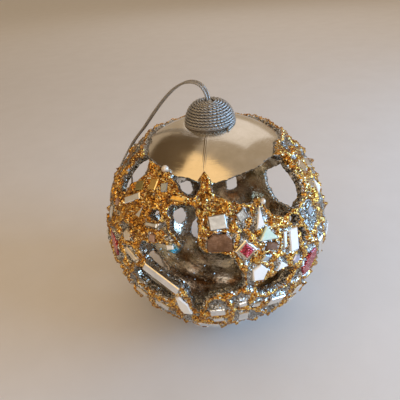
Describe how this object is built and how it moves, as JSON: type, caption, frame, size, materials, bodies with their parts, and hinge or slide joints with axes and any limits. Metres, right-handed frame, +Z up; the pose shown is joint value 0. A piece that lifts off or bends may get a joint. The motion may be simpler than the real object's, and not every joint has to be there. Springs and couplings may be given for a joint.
{
  "type": "mosaic ball ornament",
  "caption": "Openwork silvered ball crusted with gold glitter and mirror tiles, hung by a silver cord loop from a cord-wound cap.",
  "frame": {"origin": "centre of the flat tile that the ball stands on, in the plane of the floor", "axes": "+Z up through the cap; -Y is the front; +X is the viewer's right; the two half shells meet in the plane X = 0"},
  "size_m": [0.1079, 0.106, 0.1191],
  "materials": {
    "silvered_plastic": "clear plastic silvered to a satin mirror",
    "gold_glitter": "coarse gold glitter set in clear glue",
    "silver_glitter": "fine silver glitter set in clear glue",
    "clear_mirror": "bevelled silvered glass",
    "olive_mirror": "olive-gold silvered glass",
    "amber_mirror": "amber-gold silvered glass",
    "brown_mirror": "smoked brown silvered glass",
    "frosted_silver": "silvered glass with a frosted face",
    "blue_glass": "pale grey-blue silvered glass",
    "white_glass": "white-backed polished glass",
    "cream_glass": "cream glass",
    "rose_glass": "rose-brown glass",
    "mint_glass": "mint-white glass",
    "lavender_glass": "lavender glass",
    "red_glitter_glass": "glass backed with red glitter",
    "pearl": "pearl lustre",
    "brown_plastic": "grey-brown moulded plastic",
    "silver_cord": "twisted silver metallic cord"
  },
  "bodies": {
    "root": {"amber_bar_tile": "amber_mirror", "brown_arch_tile": "brown_mirror", "cap_collar": "brown_plastic", "cap_cord_winding": "silver_cord", "cap_core": "brown_plastic", "clear_strip": "clear_mirror", "cream_bar_tile": "cream_glass", "cream_tile": "cream_glass", "far_diamond_tiles": "clear_mirror", "far_red_tiles": "red_glitter_glass", "far_square_tiles": "clear_mirror", "far_wedge_tiles": "white_glass", "flat_sliver": "clear_mirror", "frosted_tile": "frosted_silver", "glitter_crust_left": "gold_glitter", "glitter_crust_right": "gold_glitter", "grey_blue_diamond": "blue_glass", "grey_diamond": "blue_glass", "half_shell_left": "silvered_plastic", "half_shell_right": "silvered_plastic", "hanging_loop": "silver_cord", "large_white_tile": "white_glass", "lavender_tile": "lavender_glass", "left_edge_tile": "clear_mirror", "long_mirror_strip": "clear_mirror", "loop_knot": "silver_cord", "mint_tile": "mint_glass", "narrow_silver_strip": "clear_mirror", "olive_tile": "olive_mirror", "pale_blue_tile": "blue_glass", "pale_chip": "white_glass", "pearl_bead": "pearl", "pink_tile": "rose_glass", "red_diamond_tile": "clear_mirror", "red_tile_left": "red_glitter_glass", "red_tile_right": "red_glitter_glass", "resting_tile": "clear_mirror", "right_edge_tile": "clear_mirror", "right_ribbon_tile": "clear_mirror", "right_sliver": "blue_glass", "rim_tiles": "clear_mirror", "rose_brown_tile": "rose_glass", "small_white_wedge": "white_glass", "smoke_chip": "brown_mirror", "underside_tiles": "clear_mirror", "upright_sliver": "clear_mirror", "white_bead": "pearl", "white_glass_tile": "white_glass", "white_oblong": "white_glass", "white_spike": "white_glass", "yellow_gold_tile": "amber_mirror"}
  },
  "joints": []
}
